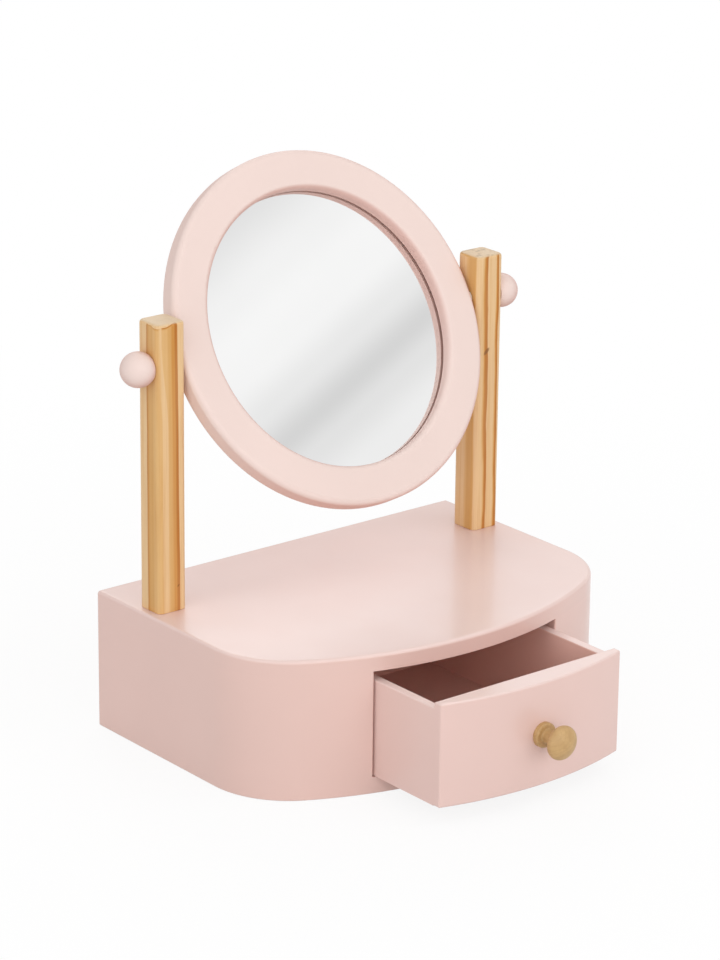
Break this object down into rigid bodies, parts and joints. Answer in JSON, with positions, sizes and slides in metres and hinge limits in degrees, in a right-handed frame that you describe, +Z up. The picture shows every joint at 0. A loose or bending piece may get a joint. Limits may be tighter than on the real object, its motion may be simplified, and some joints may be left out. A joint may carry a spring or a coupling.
{
  "type": "makeup mirror",
  "caption": "Tabletop makeup mirror: a round tilting mirror in a painted ring between wooden posts, on a bow-fronted box with a pull-out drawer.",
  "frame": {"origin": "middle of the box's footprint, on its flat underside", "axes": "+Z up, +X to the object's right, -Y out of the drawer's front; drawer part open and mirror leaning back"},
  "size_m": [0.2722, 0.2601, 0.307],
  "materials": {
    "pink_paint": "satin pink paint on fibreboard and wood",
    "pine": "clear lacquered pine",
    "turned_wood": "clear lacquered turned wood",
    "dowel_wood": "plain beech",
    "hardboard": "painted hardboard",
    "mirror_glass": "silvered glass",
    "zinc_steel": "bright zinc",
    "brass": "plain",
    "nylon": "plain"
  },
  "bodies": {
    "base": {"bottom_panel": "pink_paint", "top_panel": "pink_paint", "left_wall": "pink_paint", "right_wall": "pink_paint", "back_panel": "pink_paint", "left_drawer_guide": "pink_paint", "right_drawer_guide": "pink_paint", "left_post": "pine", "right_post": "pine", "post_dowels": "dowel_wood", "post_screws": "zinc_steel", "wall_dowels": "dowel_wood", "bottom_screws": "zinc_steel"},
    "mirror": {"mirror_frame": "pink_paint", "mirror_plate": "mirror_glass", "backing_panel": "hardboard", "backing_screws": "zinc_steel", "left_pivot_stud": "zinc_steel", "right_pivot_stud": "zinc_steel", "left_pivot_insert": "brass", "right_pivot_insert": "brass", "left_pivot_washer": "nylon", "right_pivot_washer": "nylon", "left_ball_knob": "pink_paint", "right_ball_knob": "pink_paint"},
    "drawer": {"drawer_front": "pink_paint", "drawer_left_side": "pink_paint", "drawer_right_side": "pink_paint", "drawer_back": "pink_paint", "drawer_bottom": "hardboard", "drawer_brads": "zinc_steel", "drawer_knob": "turned_wood", "drawer_knob_screw": "zinc_steel"}
  },
  "joints": [
    {"name": "mirror_tilt", "type": "hinge", "parent": "base", "child": "mirror", "pos_m": [0, 0.04525, 0.217], "axis": [1, 0, 0], "continuous": true},
    {"name": "drawer_slide", "type": "slide", "parent": "base", "child": "drawer", "axis": [0, -1, 0], "range_m": [-0.053, 0.06]}
  ]
}
